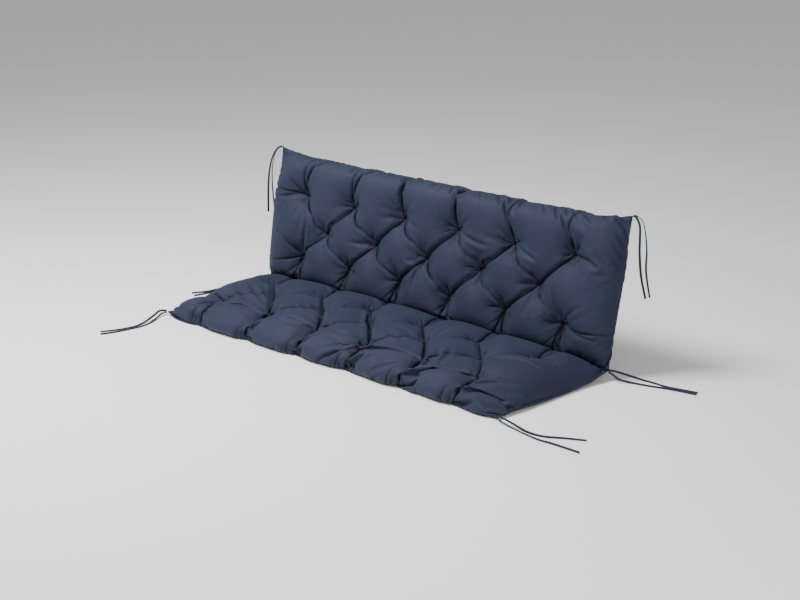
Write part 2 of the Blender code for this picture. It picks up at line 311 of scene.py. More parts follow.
# ---------------------------------------------------------------- the solver
# Each grid: how many times finer than the coarsest, its steps, and the random start noise.
LEVELS = (
    (1, 160, 0.0005),
    (2, 200, 0.0002),
    (4, 260, 0.0001),
)
# Passes over the springs in a step, the filling's push on each grid and how deep inside it the push is
# full, the speed kept from step to step, and the cloth's stiffness on its diagonals and in bending.
SWEEPS = 3
PRESSURE = (0.5, 0.7, 1.0)
SOFTNESS = 0.010
DAMPING = 0.97
SHEAR = 0.4
BENDING = 0.05
# How far seat and back keep off the plane halfway between them.
CORNER_GAP = 0.0012
# How firmly a rim is held to its line in each step, how much more at its ends, and how far that reaches.
SEAM_PULL = 0.06
CORNER_PULL = 0.60
CORNER_PULL_REACH = 0.030
# How far the sides are drawn in halfway, the top and front seams between their corners, and the
# front seam besides at its tufts.
SIDE_DRAW = 0.008
TOP_SEAM_DROP = 0.020
FRONT_SEAM_DROP = 0.002
FRONT_SEAM_PINCH = 0.010
# How much lower the front seam lies between its corners, how far from a corner that starts, and
# how far from the fold the side seams rise towards it.
FRONT_SEAM_SINK = 0.009
CORNER_REACH = 0.050
SEAM_RISE = 0.15
# How much further out the front lies at its left end, and where it starts to swell.
FRONT_SWELL = 0.024
SWELL_START = 0.10
# How far the seat's middle drops from its full height towards the front, the sides and the corners.
# For the front and the sides: where that starts and over what length, from the fold and from the
# middle of the bench. For a corner: its place and its reach. Then the rise from the fold.
FRONT_CORE_DROP = 0.018
FRONT_CORE = (0.40, 0.10)
SIDE_CORE_DROP = 0.020
SIDE_CORE = (0.62, 0.13)
SIDE_CORE_START = 0.12
CORNER_CORE_DROP = 0.020
CORNER_CORE = (0.745, 0.500)
CORNER_CORE_REACH = 0.16
FOLD_CORE_REACH = 0.06
# The first, smooth pillow: its rounding, its crowns on both sides, and the seat's middle at its rim.
PILLOW_ROUNDING = 0.09
PILLOW_CROWNS = (0.035, -0.030)
PILLOW_RIM = 0.020
PILLOW_RISE = 0.024
# The four rims of the grid, as indices of its columns and rows.
RIMS = ((slice(None), 0), (slice(None), -1), (0, slice(None)), (-1, slice(None)))


def row_index(name):
    """The coarse grid row of a tuft row or seam."""
    if name == "front_seam":
        return 0
    names = [band[0] for band in BANDS]
    return sum(band[1] for band in BANDS[: names.index(name) + 1])


def tuft_column(name, number):
    """The coarse grid column of a tuft, counted from the left."""
    count = len(TUFTS[name])
    return COLUMNS // 2 + (2 * number - count + 1) * COLUMNS_PER_HALF_PITCH


def every_tuft():
    """Each tuft's row and its number in that row."""
    return [(name, number) for name, row in TUFTS.items() for number in range(len(row))]


def tuft_at(column, row):
    """The tuft at a coarse grid place, as x and the distance from the fold, or None."""
    for name, number in every_tuft():
        if row == row_index(name) and column == tuft_column(name, number):
            return TUFTS[name][number]
    return None


def front_swell(x):
    """How much further out the seat's front lies at x than its even length."""
    return FRONT_SWELL * np.clip((SWELL_START - x) / (SWELL_START + HALF_WIDTH_FRONT), 0, 1)


def on_seat(x, out, height):
    """A point that far out from the fold, at that height above the floor."""
    return np.array([x, FOLD_Y - out, height])


def on_back(x, up, proud):
    """A point that far up from the fold, and that far proud of the back's middle."""
    return np.array([x, FOLD_Y, FOLD_Z]) + BACK_UP * up + BACK_OUT * proud


def tuft_point(name, number, side):
    """The sewn point itself: side 0 is the side sat on, side 1 the underside or rear."""
    x, away = TUFTS[name][number]
    if name.startswith("seat"):
        rise = FRONT_TUFT_RISE if name == "seat_front" and side == 0 else 0.0
        return on_seat(x, away, SEAT_CORE_Z + (SEAT_TUFT_HALF, -SEAT_TUFT_HALF)[side] + rise)
    return on_back(x, away, (BACK_TUFT_FRONT, BACK_TUFT_REAR)[side])


def row_places():
    """Each coarse row's distance along the panels, below zero on the seat."""
    stops, places = [0], [-sum(band[3] for band in BANDS[:4])]
    for _, cells, _, length in BANDS:
        stops.append(stops[-1] + cells)
        places.append(places[-1] + length)
    return np.interp(np.arange(ROWS + 1), stops, places)


def column_places():
    """Each coarse column's place along the bench."""
    outer = HALF_PITCHES / 4 * TUFT_PITCH
    stops = [0, MARGIN_COLUMNS, COLUMNS - MARGIN_COLUMNS, COLUMNS]
    return np.interp(np.arange(COLUMNS + 1), stops, [-HALF_WIDTH_FOLD, -outer, outer, HALF_WIDTH_FOLD])


def start_shape():
    """A smooth pillow of each panel on the coarse grid: array [axis, side, column, row]."""
    cover = np.zeros((3, 2, COLUMNS + 1, ROWS + 1), np.float32)
    for i, x in enumerate(column_places()):
        for j, along in enumerate(row_places()):
            length = SEAT_LENGTH if along < 0 else BACK_LENGTH
            edge = min(HALF_WIDTH_FOLD - abs(x), length - abs(along), abs(along)) / PILLOW_ROUNDING
            full = math.sqrt(1 - (1 - min(max(edge, 0.0), 1.0)) ** 2)
            for side, swell in enumerate(PILLOW_CROWNS):
                if along < 0:
                    point = on_seat(x, -along, PILLOW_RIM + PILLOW_RISE * full + swell * full)
                else:
                    point = on_back(x, along, swell * full)
                cover[:, side, i, j] = point
    cover[2] = np.maximum(cover[2], 0.0)
    return cover


def doubled(values, axis):
    """The grid with a new line halfway between each two along one axis."""
    values = np.moveaxis(values, axis, 0)
    finer = np.empty((2 * len(values) - 1,) + values.shape[1:], values.dtype)
    finer[::2] = values
    finer[1::2] = (values[1:] + values[:-1]) / 2
    return np.moveaxis(finer, 0, axis)


class Grid:
    """The cloth's flat sizes and its sewn points on one grid."""

    def __init__(self, finer):
        self.finer = finer
        self.columns = COLUMNS * finer
        self.rows = ROWS * finer
        self.fold = row_index("fold") * finer
        self.widths, self.lengths = self.flat_cells()
        self.cell = float(np.median(self.widths))
        self.across = np.concatenate([[0], np.cumsum(self.widths)])
        self.along = np.concatenate([[0], np.cumsum(self.lengths)])
        self.set_rest_lengths()
        self.set_sewn_points()

    def flat_cells(self):
        """The width of each column's cells and the length of each row's, on the flat pattern."""
        widths = np.full(COLUMNS, HALF_PITCH_CLOTH / COLUMNS_PER_HALF_PITCH)
        widths[:MARGIN_COLUMNS] = MARGIN_CLOTH / MARGIN_COLUMNS
        widths[-MARGIN_COLUMNS:] = MARGIN_CLOTH / MARGIN_COLUMNS
        lengths = np.concatenate([np.full(cells, flat / cells) for _, cells, flat, _ in BANDS])
        return np.repeat(widths, self.finer) / self.finer, np.repeat(lengths, self.finer) / self.finer

    def set_rest_lengths(self):
        """Springs along the columns, rows and diagonals; a gathered seam is shorter."""
        from_ends = np.minimum(self.along, self.along[-1] - self.along)
        from_fold = np.abs(self.along - self.along[self.fold])
        from_sides = np.minimum(self.across, self.across[-1] - self.across)
        row_gather = 1 - SEAM_GATHER * np.exp(-((from_ends / GATHER_REACH) ** 2))
        row_gather -= FOLD_GATHER * np.exp(-((from_fold / GATHER_REACH) ** 2))
        side_gather = 1 - SEAM_GATHER * np.exp(-((from_sides / GATHER_REACH) ** 2))
        cut = np.ones((self.columns + 1, self.rows + 1))
        for hand, end, share, reach in CORNER_CUTS:
            off = np.hypot(self.across[:, None] - self.across[hand], self.along - self.along[end])
            cut -= share * np.exp(-((off / reach) ** 2))
        widths = np.repeat(self.widths[:, None], self.rows + 1, axis=1)
        margin = MARGIN_COLUMNS * self.finer
        widths[margin:-margin, : self.fold] *= 1 - SEAT_PITCH_CUT
        for columns in (slice(0, margin), slice(-margin, None)):
            widths[columns, : self.fold] *= 1 - SEAT_MARGIN_CUT
        lengths = np.tile(self.lengths, (2, self.columns + 1, 1))
        inward = np.clip(from_sides / MARGIN_CLOTH, 0, 1)[:, None]
        lengths[..., : self.fold] *= 1 - SIDE_CUTS[0] * (1 - inward) ** 2
        lengths[..., self.fold :] *= 1 - SIDE_CUTS[1] * (1 - inward) ** 2
        front = slice(0, BANDS[0][1] * self.finer)
        lengths[1, :, front] *= 1 - UNDERSIDE_FRONT_CUT
        lengths[0, :, front] *= 1 - SIDE_FRONT_CUT * (1 - inward) ** 2
        for side in (0, 1):
            lengths[side, :, front] *= 1 - FRONT_NOTCH_CUTS[side] * self.near_front_tufts()[:, None]
        self.rest_across = widths * row_gather * (cut[1:] + cut[:-1]) / 2
        self.rest_across = np.stack([self.rest_across] * 2).astype(np.float32)
        between = (cut[:, 1:] + cut[:, :-1]) / 2
        self.rest_along = (lengths * side_gather[:, None] * between).astype(np.float32)
        self.rest_diagonal = (np.hypot(widths[:, 1:], lengths[:, 1:]) * cut[1:, 1:]).astype(np.float32)

    def near_front_tufts(self):
        """1 on the columns of the seat's front tufts, 0 away from them."""
        near = np.zeros(self.columns + 1)
        for number in range(len(TUFTS["seat_front"])):
            off = self.across - self.across[tuft_column("seat_front", number) * self.finer]
            near += np.exp(-((off / FRONT_NOTCH_REACH) ** 2))
        return near

    def flat_place(self, column, row):
        """The flat pattern's coordinates of a coarse grid place."""
        steps = np.arange(self.columns + 1) / self.finer, np.arange(self.rows + 1) / self.finer
        return np.array([np.interp(column, steps[0], self.across), np.interp(row, steps[1], self.along)])

    def set_sewn_points(self):
        """The grid places that are held, and where, on both sides."""
        held = []
        for name, number in every_tuft():
            place = (tuft_column(name, number), row_index(name))
            held.append((place, tuft_point(name, number, 0), tuft_point(name, number, 1)))
        for column, hand in ((0, -1), (COLUMNS, 1)):
            front = on_seat(hand * HALF_WIDTH_FRONT, SEAT_LENGTH, SEAM_Z)
            top = on_back(hand * HALF_WIDTH_TOP, BACK_LENGTH, 0.0)
            held += [((column, 0), front, front), ((column, ROWS), top, top)]
        self.held_column = np.array([place[0] for place, _, _ in held]) * self.finer
        self.held_row = np.array([place[1] for place, _, _ in held]) * self.finer
        self.held_at = np.array([[near, far] for _, near, far in held]).transpose(2, 1, 0)
        self.held_at = self.held_at.astype(np.float32)
        steps = np.arange(self.columns + 1) / self.finer
        self.fold_x = np.interp(steps, np.arange(COLUMNS + 1), column_places()).astype(np.float32)
        self.rims = self.rim_targets()

    def rim_targets(self):
        """Where the sewn rims lie: index of each rim, its points [axis, 1, along] and its pull."""
        rows = np.arange(self.rows + 1) / self.finer
        away = np.interp(rows, np.arange(ROWS + 1), row_places())
        targets = []
        for column, hand in ((0, -1), (-1, 1)):
            points = []
            for along in away:
                seat = along < 0
                corner = HALF_WIDTH_FRONT if seat else HALF_WIDTH_TOP
                share = abs(along) / (SEAT_LENGTH if seat else BACK_LENGTH)
                half = HALF_WIDTH_FOLD + (corner - HALF_WIDTH_FOLD) * share
                half -= SIDE_DRAW * math.sin(math.pi * share)
                if seat:
                    rise = max(1 + along / SEAM_RISE, 0) ** 2
                    points.append(on_seat(hand * half, -along, SEAM_Z + (FOLD_Z - SEAM_Z) * rise))
                else:
                    points.append(on_back(hand * half, along, 0.0))
            targets.append(((column, slice(None)), points))
        seams = ((0, HALF_WIDTH_FRONT, FRONT_SEAM_DROP), (-1, HALF_WIDTH_TOP, TOP_SEAM_DROP))
        for row, corner, drop in seams:
            points = []
            for share, pinch in zip(self.across / self.across[-1] * 2 - 1, self.near_front_tufts()):
                x = corner * share
                free = 1 - math.exp(-(((corner - abs(x)) / CORNER_REACH) ** 2))
                if row == 0:
                    inset = (drop - front_swell(x)) * free + FRONT_SEAM_PINCH * pinch
                    points.append(on_seat(x, SEAT_LENGTH - inset, SEAM_Z - FRONT_SEAM_SINK * free))
                else:
                    points.append(on_back(x, BACK_LENGTH - drop * free, 0.0))
            targets.append(((slice(None), row), points))
        rims = []
        for (rim, points), flat in zip(targets, (self.along, self.along, self.across, self.across)):
            from_ends = np.minimum(flat, flat[-1] - flat)
            strength = SEAM_PULL + CORNER_PULL * np.exp(-((from_ends / CORNER_PULL_REACH) ** 2))
            points = np.array(points).T[:, None].astype(np.float32)
            rims.append((rim, points, strength.astype(np.float32)))
        return rims


def pull(cover, near, far, rest, share):
    """Moves the two ends of a set of springs towards their rest length."""
    a = cover[near]
    b = cover[far]
    gap = b - a
    length = np.sqrt(gap[0] * gap[0] + gap[1] * gap[1] + gap[2] * gap[2])
    gap *= 0.5 * share * (1 - rest / length)
    a += gap
    b -= gap


def pull_springs(grid, cover):
    """One pass over all springs, every second one at a time so that none share a point."""
    whole = slice(None)
    for first in (0, 1):
        last = first + 2 * ((grid.columns - first + 1) // 2)
        near, far = slice(first, last - 1, 2), slice(first + 1, last, 2)
        pull(cover, (whole, whole, near), (whole, whole, far), grid.rest_across[:, near], 1.0)
        for start, end in ((slice(0, -1), slice(1, None)), (slice(1, None), slice(0, -1))):
            rest = grid.rest_diagonal[:, near]
            pull(cover, (whole, whole, near, start), (whole, whole, far, end), rest, SHEAR)
    for first in (0, 1):
        last = first + 2 * ((grid.rows - first + 1) // 2)
        near, far = slice(first, last - 1, 2), slice(first + 1, last, 2)
        rest = grid.rest_along[:, :, near]
        pull(cover, (whole, whole, whole, near), (whole, whole, whole, far), rest, 1.0)


def unbend(cover, share):
    """Draws each point a little towards the middle of its neighbours, the stiffness of the cloth."""
    for axis in (2, 3):
        lines = np.moveaxis(cover, axis, 0)
        step = ((lines[2:] + lines[:-2]) / 2 - lines[1:-1]) * share
        lines[1:-1] += step
        lines[2:] -= step / 2
        lines[:-2] -= step / 2


def ramp(value, start, length):
    """0 up to start, rising evenly to 1 over that length."""
    return np.clip((value - start) / length, 0, 1)


def core_height(x, away):
    """The height of the seat's middle, lower at the fold, the front, the sides and the corners."""
    outer = np.abs(x)
    height = SEAT_CORE_Z - (SEAT_CORE_Z - FOLD_Z) * np.clip(1 - away / FOLD_CORE_REACH, 0, 1) ** 2
    height = height - FRONT_CORE_DROP * ramp(away, *FRONT_CORE) ** 1.5
    height = height - SIDE_CORE_DROP * ramp(outer, *SIDE_CORE) ** 2 * ramp(away, 0, SIDE_CORE_START)
    off = np.hypot(outer - CORNER_CORE[0], away - CORNER_CORE[1])
    corner = np.clip(1 - off / CORNER_CORE_REACH, 0, 1)
    return np.maximum(height - CORNER_CORE_DROP * corner, SEAM_Z)


def rounded(distance, reach):
    """0 at a side, rising in a quarter circle to 1 at reach."""
    return np.sqrt(1 - (1 - np.clip(distance / reach, 0, 1)) ** 2)


def lies_at(column, row):
    """Where a coarse grid place lies on its panel: x and the distance from the fold."""
    tuft = tuft_at(column, row)
    if tuft:
        return np.array(tuft)
    away = abs(np.interp(row, np.arange(ROWS + 1), row_places()))
    return np.array([np.interp(column, np.arange(COLUMNS + 1), column_places()), away])


def all_creases():
    """Every crease: its start and end as coarse grid places, its depth and its bow."""
    draws = np.random.default_rng(CREASE_SEED)
    lines = []
    for name, aside, end_name, depth, run, bow in CREASES:
        for number in range(len(TUFTS[name])):
            start = np.array([tuft_column(name, number), row_index(name)], float)
            end = np.array([start[0] + aside * COLUMNS_PER_HALF_PITCH, row_index(end_name)], float)
            depth_draw, run_draw, bow_draw = draws.uniform(*CREASE_SPREAD, 3)
            if end_name in TUFTS and not tuft_at(*end):
                continue
            if run < 1:
                end = start + (end - start) * min(run * run_draw, 1)
            lines.append((start, end, depth * depth_draw, bow * bow_draw))
    for name, number, aside, along, depth, bow in LONE_CREASES:
        start = np.array([tuft_column(name, number), row_index(name)], float)
        end = start + np.array([aside * COLUMNS_PER_HALF_PITCH, along])
        end[0] = np.clip(end[0], 0, COLUMNS)
        lines.append((start, end, depth, bow))
    return lines


def valley(x, s, start, end, depth, bow):
    """The soft trough along one crease, deepest in its middle."""
    run = end - start
    length = np.hypot(*run)
    along, beside = run / length, np.array([-run[1], run[0]]) / length
    dx, ds = x - start[0], s - start[1]
    share = np.clip((dx * along[0] + ds * along[1]) / length, 0, 1)
    bend = bow * np.sin(np.pi * share)
    off_x = dx - share * run[0] - bend * beside[0]
    off_s = ds - share * run[1] - bend * beside[1]
    off = np.clip(np.hypot(off_x, off_s) / VALLEY_HALF_WIDTH, 0, 1)
    deepest = VALLEY_SHARE * depth * np.sqrt(np.sin(np.pi * (0.1 + 0.8 * share)))
    return deepest * (1 - off) ** 1.5


class Filling:
    """The stuffed form of one panel, as heights above and below its middle over a fine raster."""

    def __init__(self, panel):
        self.panel, self.sizes = panel, FILLING[panel]
        self.across = np.arange(-FILLING_HALF, FILLING_HALF, FILLING_STEP)
        self.away = np.arange(FILLING_START, FILLING_LENGTH, FILLING_STEP)
        x, s = np.meshgrid(self.across, self.away, indexing="ij")
        full, valleys = self.fullness(x, s), self.valleys(x, s)
        self.maps = []
        for side, crown in enumerate(self.sizes["crowns"]):
            height = np.maximum(crown * self.tufted(x, s, side) * full - valleys * full, 0)
            slope_x, slope_s = np.gradient(height, FILLING_STEP)
            lean = 1 / np.sqrt(1 + np.minimum(slope_x**2 + slope_s**2, STEEPEST**2))
            self.maps.append((height.astype(np.float32), lean.astype(np.float32)))

    def fullness(self, x, s):
        """The share of the full height: less towards the rims, the corners and in the notches."""
        half_width, end = self.sizes["half_width"], self.sizes["end"]
        side_reach, end_reach, fold_reach = self.sizes["rounding"]
        full = rounded(half_width - np.abs(x), side_reach)
        full = full * rounded(self.end_at(x) - s, end_reach) * rounded(s + FOLD_OVERLAP, fold_reach)
        for hand, reach in zip((-1, 1), self.sizes["corners"]):
            off = np.hypot(x - hand * half_width, s - end)
            full *= np.clip(off / reach, 0, 1)
        for name, towards, share in NOTCHES:
            if name.startswith(self.panel):
                for tuft_x, tuft_s in TUFTS[name]:
                    beside = np.exp(-(((x - NOTCH_SPREAD * tuft_x) / NOTCH_REACH) ** 2))
                    full *= 1 - share * beside * np.clip((s - tuft_s) * towards / NOTCH_START, 0, 1)
        return full

    def end_at(self, x):
        """The far end of the stuffed form, drawn in where the tufts next to it pinch it."""
        end = np.full_like(x, self.sizes["end"])
        row, pinch = "back_top", TOP_PINCH
        if self.panel == "seat":
            row, pinch = "seat_front", FRONT_PINCH
            end += front_swell(x)
        for tuft_x, _ in TUFTS[row]:
            end -= pinch[0] * np.exp(-np.abs((x - PINCH_SPREAD * tuft_x) / pinch[1]) ** 1.5)
        return end

    def tufted(self, x, s, side):
        """The share of the height that the tufts' dimples leave."""
        crown, tuft = self.sizes["crowns"][side], self.sizes["tufts"][side]
        height = np.ones_like(x)
        for name, row in TUFTS.items():
            if name.startswith(self.panel):
                low = tuft + (FRONT_TUFT_RISE if name == "seat_front" and side == 0 else 0.0)
                for tuft_x, tuft_s in row:
                    off = np.hypot(x - tuft_x, s - tuft_s)
                    wide = np.exp(-((off / self.sizes["dimple"]) ** DIMPLE_POWER))
                    dimple = (1 - PINCH_SHARE) * wide
                    dimple += PINCH_SHARE * np.exp(-off / PINCH_REACH)
                    height *= 1 - (1 - low / crown) * dimple
        return height

    def valleys(self, x, s):
        """The soft troughs along all of the panel's creases."""
        deepest = np.zeros_like(x)
        for start, end, depth, bow in all_creases():
            if (start[1] < row_index("fold")) == (self.panel == "seat"):
                line = valley(x, s, lies_at(*start), lies_at(*end), depth, bow)
                deepest = np.maximum(deepest, line)
        return deepest

    def look_up(self, x, s, height):
        """How deep inside the form each point is, below zero outside it."""
        i = np.clip((x - self.across[0]) / FILLING_STEP, 0, len(self.across) - 1.001)
        j = np.clip((s - self.away[0]) / FILLING_STEP, 0, len(self.away) - 1.001)
        i0, j0 = i.astype(np.int32), j.astype(np.int32)
        fi, fj = i - i0, j - j0
        flat = i0 * len(self.away) + j0
        above = height > 0
        result = []
        for layer in (0, 1):
            up, down = self.maps[0][layer].ravel(), self.maps[1][layer].ravel()
            value = np.where(above, self.blend(up, flat, fi, fj), self.blend(down, flat, fi, fj))
            result.append(value)
        return (result[0] - np.abs(height)) * result[1]

    def blend(self, values, flat, fi, fj):
        """Values between the raster's points, from each place's index and shares."""
        wide = len(self.away)
        near = values[flat] * (1 - fj) + values[flat + 1] * fj
        far = values[flat + wide] * (1 - fj) + values[flat + wide + 1] * fj
        return near * (1 - fi) + far * fi


def panel_places(cover):
    """Each point's distance from the fold and height out of the panel's middle, for both panels."""
    y, z = cover[1] - FOLD_Y, cover[2] - FOLD_Z
    seat = (-y, cover[2] - core_height(cover[0], -y))
    back = (y * BACK_UP[1] + z * BACK_UP[2], y * BACK_OUT[1] + z * BACK_OUT[2])
    return seat, back


def differences(cover, axis):
    """Each point's step along one axis, from the point before it to the one after it."""
    lines = np.moveaxis(cover, axis, 0)
    steps = np.empty_like(lines)
    steps[1:-1] = lines[2:] - lines[:-2]
    steps[0] = lines[1] - lines[0]
    steps[-1] = lines[-1] - lines[-2]
    return np.moveaxis(steps, 0, axis)


def blow(grid, cover, fillings, strength):
    """The filling's push along each point's normal, less as the cloth nears the stuffed form."""
    across, along = differences(cover, 2), differences(cover, 3)
    normal = np.stack([
        across[1] * along[2] - across[2] * along[1],
        across[2] * along[0] - across[0] * along[2],
        across[0] * along[1] - across[1] * along[0],
    ])
    size = np.sqrt((normal * normal).sum(0)) + 1e-12
    normal[:, 1] *= -1
    depth = np.empty_like(size)
    for panel, rows in enumerate((slice(0, grid.fold), slice(grid.fold, None))):
        part = cover[..., rows]
        away, height = panel_places(part)[panel]
        depth[..., rows] = fillings[panel].look_up(part[0], away, height)
    push = np.clip(depth / SOFTNESS, -1, 1) * strength * grid.cell**2
    return (normal * (push / size)).astype(np.float32)


def hold(grid, cover):
    """The seams, the sewn points, the fold, the other panel and the floor."""
    for rim in RIMS:
        both = (slice(None), slice(None)) + rim
        cover[both] = cover[both].mean(1, keepdims=True)
    for rim, target, strength in grid.rims:
        both = (slice(None), slice(None)) + rim
        cover[both] += strength * (target - cover[both])
    fold = grid.fold
    cover[:, :, grid.held_column, grid.held_row] = grid.held_at
    cover[0, :, :, fold] = grid.fold_x
    cover[1, :, :, fold] = FOLD_Y
    cover[2, :, :, fold] = FOLD_Z
    beyond = (cover[1, 0] - FOLD_Y) * CORNER_NORMAL[1] + (cover[2, 0] - FOLD_Z) * CORNER_NORMAL[2]
    seat = np.maximum(beyond[:, :fold] + CORNER_GAP, 0)
    back = np.minimum(beyond[:, fold + 1 :] - CORNER_GAP, 0)
    for axis in (1, 2):
        cover[axis, 0, :, :fold] -= seat * CORNER_NORMAL[axis]
        cover[axis, 0, :, fold + 1 :] -= back * CORNER_NORMAL[axis]
    np.maximum(cover[2], 0.0, out=cover[2])


def settle(grid, cover, fillings, strength, steps, noise, seed):
    """Blows the cover up and lets it come to rest."""
    draws = np.random.default_rng(seed)
    before = cover.copy()
    cover = cover + (draws.standard_normal(cover.shape) * noise).astype(np.float32)
    for _ in range(steps):
        push = blow(grid, cover, fillings, strength)
        moved = cover - before
        before = cover.copy()
        cover += moved * DAMPING + push
        for _ in range(SWEEPS):
            pull_springs(grid, cover)
        unbend(cover, BENDING)
        hold(grid, cover)
    return cover


class Sheet:
    """One side of the settled cover, into which creases and wrinkles are pressed and shade is painted."""

    def __init__(self, grid, cover, side):
        self.grid, self.points = grid, cover[:, side]
        self.share = (1.0, REAR_SHARE)[side]
        normal = np.cross(np.gradient(self.points, axis=1), np.gradient(self.points, axis=2), axis=0)
        normal /= np.sqrt((normal * normal).sum(0)) + 1e-12
        self.inward = normal * (-1, 1)[side]
        (_, seat), (_, back) = panel_places(self.points)
        fold = grid.fold
        height = np.abs(np.concatenate([seat[:, :fold], back[:, fold:]], axis=1))
        lean = np.abs(self.inward[2])
        lean[:, fold:] = np.abs(np.tensordot(BACK_OUT, self.inward[..., fold:], 1))
        self.room = height / np.maximum(lean, LEAST_LEAN) + EDGE_ROOM * (1 - lean) ** 2
        # Painted shade on each point, later darkening the colour in creases and round tufts.
        self.painted_shade = np.zeros(self.points.shape[1:])

    def sample(self, values, u, v):
        """Values at places of the flat pattern, between the grid's points."""
        i = np.interp(u, self.grid.across, np.arange(self.grid.columns + 1))
        j = np.interp(v, self.grid.along, np.arange(self.grid.rows + 1))
        i0 = np.minimum(i.astype(int), self.grid.columns - 1)
        j0 = np.minimum(j.astype(int), self.grid.rows - 1)
        fi, fj = i - i0, j - j0
        near = values[..., i0, j0] * (1 - fj) + values[..., i0, j0 + 1] * fj
        far = values[..., i0 + 1, j0] * (1 - fj) + values[..., i0 + 1, j0 + 1] * fj
        return near * (1 - fi) + far * fi

    def press(self, start, end, depth, bow, reach, pinch, ends, painted_shade=1.0):
        """Draws the cloth together over a line, lets it in and paints shade along it; ends are the
        strengths at its ends.
        """
        around = 3 * reach + abs(bow)
        low, high = np.minimum(start, end) - around, np.maximum(start, end) + around
        columns = slice(*np.searchsorted(self.grid.across, (low[0], high[0])))
        rows = slice(*np.searchsorted(self.grid.along, (low[1], high[1])))
        u, v = np.meshgrid(self.grid.across[columns], self.grid.along[rows], indexing="ij")
        if u.size == 0:
            return
        run = end - start
        length = np.hypot(*run)
        way, beside = run / length, np.array([-run[1], run[0]]) / length
        ahead = (u - start[0]) * way[0] + (v - start[1]) * way[1]
        share = np.clip(ahead / length, 0, 1)
        bend = bow * np.sin(np.pi * share)
        aside = (u - start[0]) * beside[0] + (v - start[1]) * beside[1] - bend
        off = np.hypot(aside, ahead - share * length)
        line_u = start[0] + run[0] * share + bend * beside[0]
        line_v = start[1] + run[1] * share + bend * beside[1]
        strength = ends[0] + (ends[1] - ends[0]) * share**1.5
        near_end = np.minimum(share, 1 - share if ends[1] else 1.0) * length
        reach = reach * np.clip(near_end / NARROWING[0], NARROWING[1], 1)
        line = self.sample(self.points, line_u, line_v)
        inward = self.sample(self.inward, line_u, line_v)
        most = MOST_OF_HEIGHT * self.sample(self.room, line_u, line_v)
        fade = np.clip(near_end / SHALLOWING[0], SHALLOWING[1], 1)
        drop = np.minimum(self.share * depth * fade, most) * strength
        drop = drop * np.exp(-((off / (GROOVE_REACH * reach)) ** WALL_POWER))
        draw = pinch * strength * np.exp(-((off / reach) ** 2))
        self.points[:, columns, rows] += (line - self.points[:, columns, rows]) * draw + inward * drop
        # Painted shade along the line: a dark core and a wider, fainter halo.
        dark = sum(deep * np.exp(-((off / (wide * reach)) ** 2)) for deep, wide in PAINTED_SHADES)
        dark = dark * painted_shade * strength
        self.painted_shade[columns, rows] = np.maximum(self.painted_shade[columns, rows], dark)

    def add_creases(self):
        """The creases between the tufts, and from them to the seams and the fold."""
        for start, end, depth, bow in all_creases():
            last = END_AT_TUFT if tuft_at(*end) or end[1] in (0, row_index("fold")) else 0.0
            if end[1] == ROWS:
                last = END_AT_TOP
            ends = self.grid.flat_place(*start), self.grid.flat_place(*end)
            reach = NOTCH_CREASE_REACH if end[1] == 0 else CREASE_REACH
            self.press(*ends, depth * CREASE_SCALE, bow, reach, CREASE_PINCH, (1.0, last))

    def paint_tuft_shade(self):
        """Painted shade round the sewn points, darkest right at them."""
        for name, number in every_tuft():
            u, v = self.grid.flat_place(tuft_column(name, number), row_index(name))
            off = np.hypot(self.grid.across[:, None] - u, self.grid.along - v)
            self.painted_shade = np.maximum(self.painted_shade, np.exp(-((off / TUFT_PAINTED_SHADE_REACH) ** 2)))

    def add_wrinkles(self, draws):
        """Fine wrinkles that run out from every tuft."""
        for name, number in every_tuft():
            centre = self.grid.flat_place(tuft_column(name, number), row_index(name))
            count = int(draws.integers(*WRINKLES["count"]))
            turn = draws.uniform(0, 2 * math.pi)
            for k in range(count):
                off = draws.uniform(-WRINKLE_ANGLES, WRINKLE_ANGLES)
                angle = turn + 2 * math.pi * (k + off) / count
                way = np.array([math.cos(angle), math.sin(angle)])
                length = draws.uniform(*WRINKLES["length"])
                depth = draws.uniform(*WRINKLES["depth"])
                bow = draws.uniform(-1, 1) * WRINKLES["bow"]
                start, end = centre + way * WRINKLE_START, centre + way * length
                self.press(start, end, depth, bow, WRINKLE_REACH, FOLD_PINCH, FADING, FOLD_PAINTED_SHADE)

    def add_puckers(self, draws):
        """Small puckers along each seam, square to it."""
        across, along = self.grid.across[-1], self.grid.along[-1]
        fold = self.grid.along[self.grid.fold]
        for name, corner, way, length in (
            ("front_seam", (0, 0), (1, 0), across),
            ("top_seam", (0, along), (1, 0), across),
            ("sides", (0, fold), (0, 1), along - fold),
            ("sides", (across, fold), (0, 1), along - fold),
        ):
            sizes = PUCKERS[name]
            inner = np.array([way[1], way[0]]) * (-1 if name == "top_seam" or corner[0] else 1)
            place = sizes["pitch"]
            while place < length - sizes["pitch"]:
                start = np.array(corner) + np.array(way) * place
                lean = draws.uniform(-PUCKER_LEAN, PUCKER_LEAN) * np.array(way)
                end = start + (inner + lean) * draws.uniform(*sizes["length"])
                bow = draws.uniform(-PUCKER_BOW, PUCKER_BOW)
                depth = draws.uniform(*sizes["depth"])
                self.press(start, end, depth, bow, PUCKER_REACH, PUCKER_PINCH, FADING, PUCKER_PAINTED_SHADE)
                place += sizes["pitch"] * draws.uniform(*PUCKER_GAPS)

    def add_front_folds(self, draws):
        """Upright folds in the front face, where the cloth is gathered into its notches."""
        for number in range(len(TUFTS["seat_front"])):
            foot = self.grid.flat_place(tuft_column("seat_front", number), 0)
            for aside, length, depth in FRONT_FOLDS:
                off = aside + draws.uniform(-FRONT_FOLD_SHIFT, FRONT_FOLD_SHIFT)
                start = foot + np.array([off, FRONT_FOLD_FOOT])
                rise = length * draws.uniform(*FRONT_FOLD_LENGTHS)
                end = start + np.array([-FRONT_FOLD_LEAN * aside, rise])
                bow = draws.uniform(-FRONT_FOLD_BOW, FRONT_FOLD_BOW)
                drawn = depth * draws.uniform(*FRONT_FOLD_DEPTHS)
                self.press(start, end, drawn, bow, FRONT_FOLD_REACH, FOLD_PINCH, FADING, FOLD_PAINTED_SHADE)

